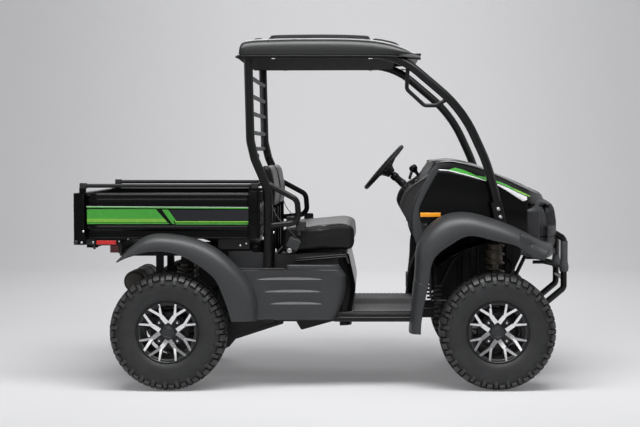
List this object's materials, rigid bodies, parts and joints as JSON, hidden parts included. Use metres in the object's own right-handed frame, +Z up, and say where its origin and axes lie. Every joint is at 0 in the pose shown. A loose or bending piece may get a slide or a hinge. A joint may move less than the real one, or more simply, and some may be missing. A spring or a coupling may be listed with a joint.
{
  "type": "side by side utility vehicle",
  "caption": "Open two-seat utility vehicle on knobbly tyres, with a roof on tube hoops, a steering wheel and a tilting cargo bed behind the seats.",
  "frame": {"origin": "on the ground, midway between the bed's tail posts and the front guard, on the centre line", "axes": "+X forwards, +Y to the driver's left, +Z up"},
  "size_m": [2.759, 1.4, 1.965],
  "materials": {
    "tyre": "matt, knobbly tread",
    "rim_alloy": "machined faces",
    "frame_black": "satin",
    "tube_black": "semi-gloss powder coat",
    "screen_grey": "satin",
    "bare_steel": "dull",
    "shock_steel": "satin",
    "engine_iron": "rough",
    "fender_plastic": "moulded, textured",
    "body_gloss": "gloss",
    "bed_gloss": "gloss",
    "roof_charcoal": "sheen",
    "seat_vinyl": "grained vinyl",
    "grip_rubber": "soft",
    "lamp_clear": "clear lens",
    "lamp_red": "lens"
  },
  "bodies": {
    "chassis": {"frame_rails": "frame_black", "cross_members": "frame_black", "sills": "frame_black", "rear_supports": "frame_black", "carrier_rails": "frame_black", "carrier_beams": "frame_black", "rear_axle": "frame_black", "hitch_tongue": "frame_black", "front_supports": "frame_black", "tower_beam": "frame_black", "front_arms": "frame_black", "rack_housing": "frame_black", "front_driveline": "frame_black", "rear_posts": "tube_black", "front_posts": "tube_black", "hip_bars": "tube_black", "grab_handle": "tube_black", "roof_bars": "tube_black", "front_guard": "tube_black", "steering_column": "tube_black", "rear_screen": "screen_grey", "muffler": "bare_steel", "rear_shocks": "shock_steel", "engine_block": "engine_iron", "rear_fenders": "fender_plastic", "front_fenders": "fender_plastic", "side_panels": "fender_plastic", "floor_pan": "fender_plastic", "toe_board": "fender_plastic", "dash_panel": "fender_plastic", "seat_base": "fender_plastic", "cowl_sides": "body_gloss", "hood": "body_gloss", "roof": "roof_charcoal", "seat_cushion": "seat_vinyl", "seat_backs": "seat_vinyl", "driver_controls": "grip_rubber", "headlamps": "lamp_clear", "tail_lamps": "lamp_red"},
    "wheel_rear_left": {"tyre_rear_left": "tyre", "rim_rear_left": "rim_alloy"},
    "wheel_rear_right": {"tyre_rear_right": "tyre", "rim_rear_right": "rim_alloy"},
    "wheel_front_left": {"tyre_front_left": "tyre", "rim_front_left": "rim_alloy"},
    "wheel_front_right": {"tyre_front_right": "tyre", "rim_front_right": "rim_alloy"},
    "knuckle_left": {"knuckle_left": "bare_steel", "front_strut_left": "shock_steel"},
    "knuckle_right": {"knuckle_right": "bare_steel", "front_strut_right": "shock_steel"},
    "steering_wheel": {"steering_wheel": "grip_rubber"},
    "tie_rod": {"tie_rod": "bare_steel"},
    "cargo_bed": {"cargo_bed": "bed_gloss", "bed_rails": "tube_black"},
    "tailgate": {"tailgate": "bed_gloss"}
  },
  "joints": [
    {"name": "steer_left", "type": "hinge", "parent": "chassis", "child": "knuckle_left", "pos_m": [0.9425, 0.433, 0.32], "axis": [0, -0.0913, 0.9958], "range_deg": [-28, 28]},
    {"name": "steer_right", "type": "hinge", "parent": "chassis", "child": "knuckle_right", "pos_m": [0.9425, -0.433, 0.32], "axis": [0, 0.0913, 0.9958], "range_deg": [-28, 28]},
    {"name": "steering_wheel_turn", "type": "hinge", "parent": "chassis", "child": "steering_wheel", "pos_m": [0.3305, 0.3, 1.21], "axis": [-0.7539, 0, 0.6569], "range_deg": [-420, 420]},
    {"name": "tie_rod_slide", "type": "slide", "parent": "chassis", "child": "tie_rod", "axis": [0, 1, 0], "range_m": [-0.052, 0.052]},
    {"name": "rear_left_roll", "type": "hinge", "parent": "chassis", "child": "wheel_rear_left", "pos_m": [-0.8575, 0.575, 0.32], "axis": [0, 1, 0], "continuous": true},
    {"name": "rear_right_roll", "type": "hinge", "parent": "chassis", "child": "wheel_rear_right", "pos_m": [-0.8575, -0.575, 0.32], "axis": [0, 1, 0], "continuous": true},
    {"name": "front_left_roll", "type": "hinge", "parent": "knuckle_left", "child": "wheel_front_left", "pos_m": [0.9425, 0.575, 0.32], "axis": [0, 1, 0], "continuous": true},
    {"name": "front_right_roll", "type": "hinge", "parent": "knuckle_right", "child": "wheel_front_right", "pos_m": [0.9425, -0.575, 0.32], "axis": [0, 1, 0], "continuous": true},
    {"name": "bed_tilt", "type": "hinge", "parent": "chassis", "child": "cargo_bed", "pos_m": [-1.2895, 0, 0.799], "axis": [0, -1, 0], "range_deg": [0, 45]},
    {"name": "tailgate_fold", "type": "hinge", "parent": "cargo_bed", "child": "tailgate", "pos_m": [-1.3685, 0, 0.851], "axis": [0, -1, 0], "range_deg": [0, 90]}
  ],
  "couplings": [
    {"joint": "steer_right", "follows": "steer_left", "ratio": 1},
    {"joint": "steering_wheel_turn", "follows": "steer_left", "ratio": 15},
    {"joint": "tie_rod_slide", "follows": "steer_left", "m_per_rad": -0.1056}
  ]
}
